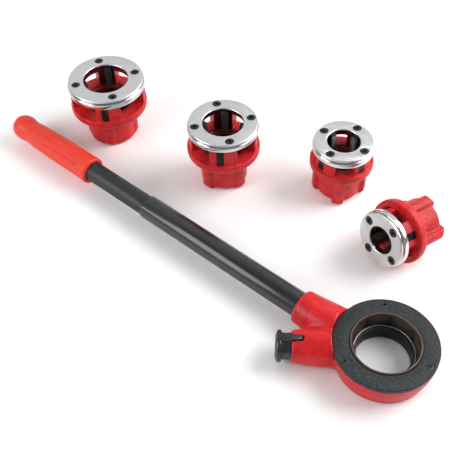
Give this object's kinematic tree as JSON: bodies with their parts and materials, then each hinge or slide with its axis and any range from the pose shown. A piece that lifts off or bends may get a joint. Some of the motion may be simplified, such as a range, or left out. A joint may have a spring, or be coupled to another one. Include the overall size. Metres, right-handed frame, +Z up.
{
  "type": "ratchet pipe threading set",
  "caption": "Manual ratchet pipe threader: a long handle on a ring with a pull-out pawl knob, and loose round die heads whose bosses drop into the ring.",
  "frame": {"origin": "where the axis of the ratchet ring meets the bench", "axes": "+Z up along the ring's axis, the handle runs along -X, the loose heads stand on the +Y side"},
  "size_m": [0.5011, 0.24, 0.0715],
  "materials": {
    "cast_red": "red enamel over a casting, satin",
    "cover_black": "blackened, satin, lightly grained",
    "screw_grey": "blackened steel",
    "gear_steel": "oiled brown-black steel with worn bright edges",
    "spring_steel": "drawn wire",
    "tool_steel": "ground steel",
    "knob_black": "glossy moulded black",
    "sleeve_black": "gloss black enamel on tube",
    "tube_black": "satin black on tube",
    "grip_orange": "moulded soft plastic, fine satin",
    "bright_ring": "bright zinc or chrome over a turned face",
    "chaser_black": "black oxide with ground cutting edges",
    "screw_black": "black oxide"
  },
  "bodies": {
    "frame": {"housing": "cast_red", "cover_plate": "cover_black", "cover_screws": "screw_grey", "handle_sleeve": "sleeve_black", "handle_tube": "tube_black", "grip": "grip_orange", "pawl_spring": "spring_steel"},
    "drive_gear": {"ratchet_gear": "gear_steel", "retaining_wire": "spring_steel"},
    "pawl_knob": {"pawl": "tool_steel", "pull_knob": "knob_black", "knob_pin": "spring_steel"},
    "dn32_head": {"dn32_body": "cast_red", "dn32_face_ring": "bright_ring", "dn32_chasers": "chaser_black", "dn32_screws": "screw_black"},
    "dn25_head": {"dn25_body": "cast_red", "dn25_face_ring": "bright_ring", "dn25_chasers": "chaser_black", "dn25_screws": "screw_black"},
    "dn20_head": {"dn20_body": "cast_red", "dn20_face_ring": "bright_ring", "dn20_chasers": "chaser_black", "dn20_screws": "screw_black"},
    "dn15_head": {"dn15_body": "cast_red", "dn15_face_ring": "bright_ring", "dn15_chasers": "chaser_black", "dn15_screws": "screw_black"}
  },
  "joints": [
    {"name": "gear_spin", "type": "hinge", "parent": "frame", "child": "drive_gear", "pos_m": [0, 0, 0.012], "axis": [0, 0, 1], "continuous": true},
    {"name": "pawl_pull", "type": "slide", "parent": "frame", "child": "pawl_knob", "axis": [-0.8028, -0.5962, 0], "range_m": [0, 0.01], "stiffness_N_per_m": 600, "springref_m": -0.008, "deforming": ["pawl_spring"]},
    {"name": "dn32_lift", "type": "slide", "parent": "frame", "child": "dn32_head", "axis": [0, 0, 1], "range_m": [0, 0.1]},
    {"name": "dn25_lift", "type": "slide", "parent": "frame", "child": "dn25_head", "axis": [0, 0, 1], "range_m": [0, 0.1]},
    {"name": "dn20_lift", "type": "slide", "parent": "frame", "child": "dn20_head", "axis": [0, 0, 1], "range_m": [0, 0.1]},
    {"name": "dn15_lift", "type": "slide", "parent": "frame", "child": "dn15_head", "axis": [0, 0, 1], "range_m": [0, 0.1]}
  ]
}
